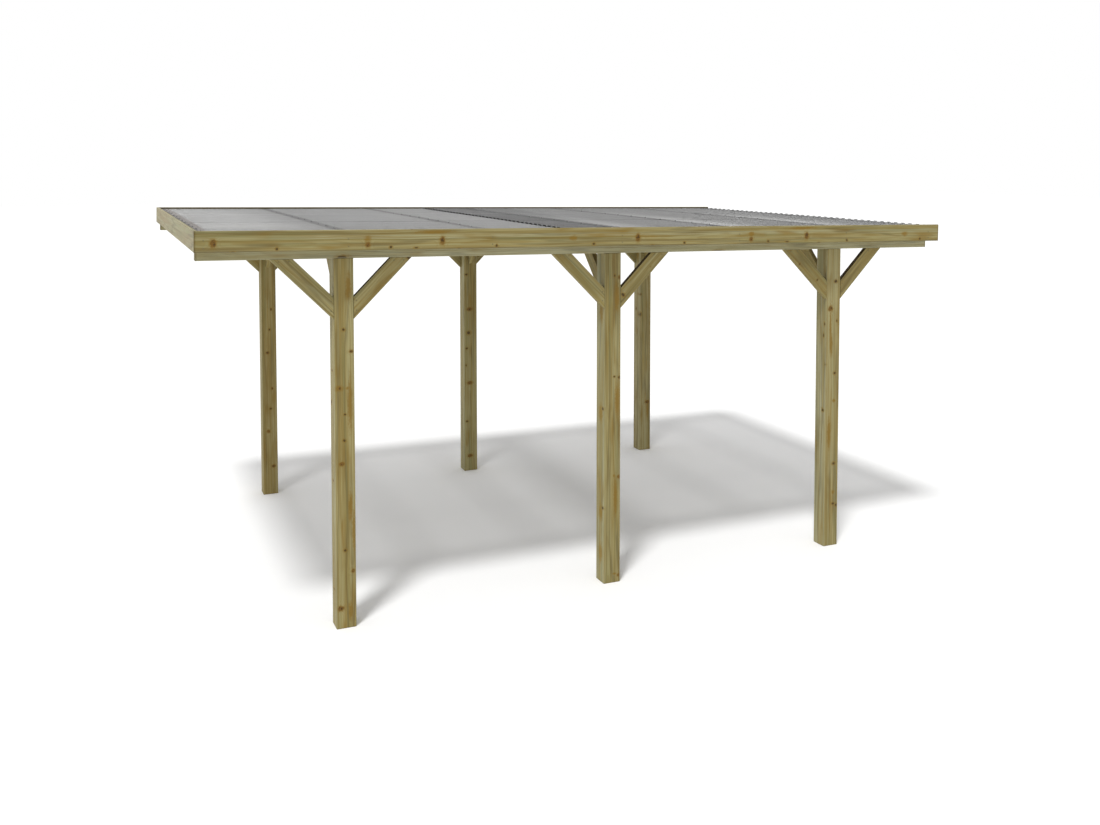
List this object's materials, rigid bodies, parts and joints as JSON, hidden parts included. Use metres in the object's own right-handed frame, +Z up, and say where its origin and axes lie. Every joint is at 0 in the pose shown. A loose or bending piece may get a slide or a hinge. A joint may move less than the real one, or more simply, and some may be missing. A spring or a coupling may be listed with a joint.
{
  "type": "timber carport",
  "caption": "Free-standing single timber carport: square posts, braced beams, rafters, edge boards and a gently sloping roof of ribbed see-through sheets.",
  "frame": {"origin": "centre of the whole outline at floor level, on the posts' feet", "axes": "+X down the roof's fall along the carport's length, +Y to the rear row of posts, +Z up"},
  "size_m": [5.0281, 3.097, 2.315],
  "materials": {
    "post_timber": "planed softwood, pressure treated, greenish tan",
    "beam_timber": "planed softwood, pressure treated, greenish tan",
    "rafter_timber": "planed softwood, pressure treated, greenish tan",
    "board_timber": "planed softwood board, pressure treated, greenish tan",
    "brace_timber": "planed softwood, pressure treated, greenish tan",
    "roof_sheet": "smoke-grey ribbed plastic sheet, translucent",
    "fixing": "coated steel screws, olive in the timber and grey in the roof sheets"
  },
  "bodies": {
    "root": {"post_front_high": "post_timber", "post_front_mid": "post_timber", "post_front_low": "post_timber", "post_rear_high": "post_timber", "post_rear_mid": "post_timber", "post_rear_low": "post_timber", "beam_front": "beam_timber", "beam_rear": "beam_timber", "rafter_high_end": "rafter_timber", "rafter_high_post": "rafter_timber", "rafter_high_bay": "rafter_timber", "rafter_mid_post": "rafter_timber", "rafter_low_bay": "rafter_timber", "rafter_low_post": "rafter_timber", "rafter_low_end": "rafter_timber", "board_front": "board_timber", "board_rear": "board_timber", "board_high_end": "board_timber", "brace_front_high_uphill": "brace_timber", "brace_front_high_downhill": "brace_timber", "brace_front_mid_uphill": "brace_timber", "brace_front_mid_downhill": "brace_timber", "brace_front_low_uphill": "brace_timber", "brace_front_low_downhill": "brace_timber", "brace_rear_high_uphill": "brace_timber", "brace_rear_high_downhill": "brace_timber", "brace_rear_mid_uphill": "brace_timber", "brace_rear_mid_downhill": "brace_timber", "brace_rear_low_uphill": "brace_timber", "brace_rear_low_downhill": "brace_timber", "cross_brace_front_high": "brace_timber", "cross_brace_front_mid": "brace_timber", "cross_brace_front_low": "brace_timber", "cross_brace_rear_high": "brace_timber", "cross_brace_rear_mid": "brace_timber", "cross_brace_rear_low": "brace_timber", "sheet_high_front": "roof_sheet", "sheet_high_mid": "roof_sheet", "sheet_high_rear": "roof_sheet", "sheet_low_front": "roof_sheet", "sheet_low_mid": "roof_sheet", "sheet_low_rear": "roof_sheet"}
  },
  "joints": []
}
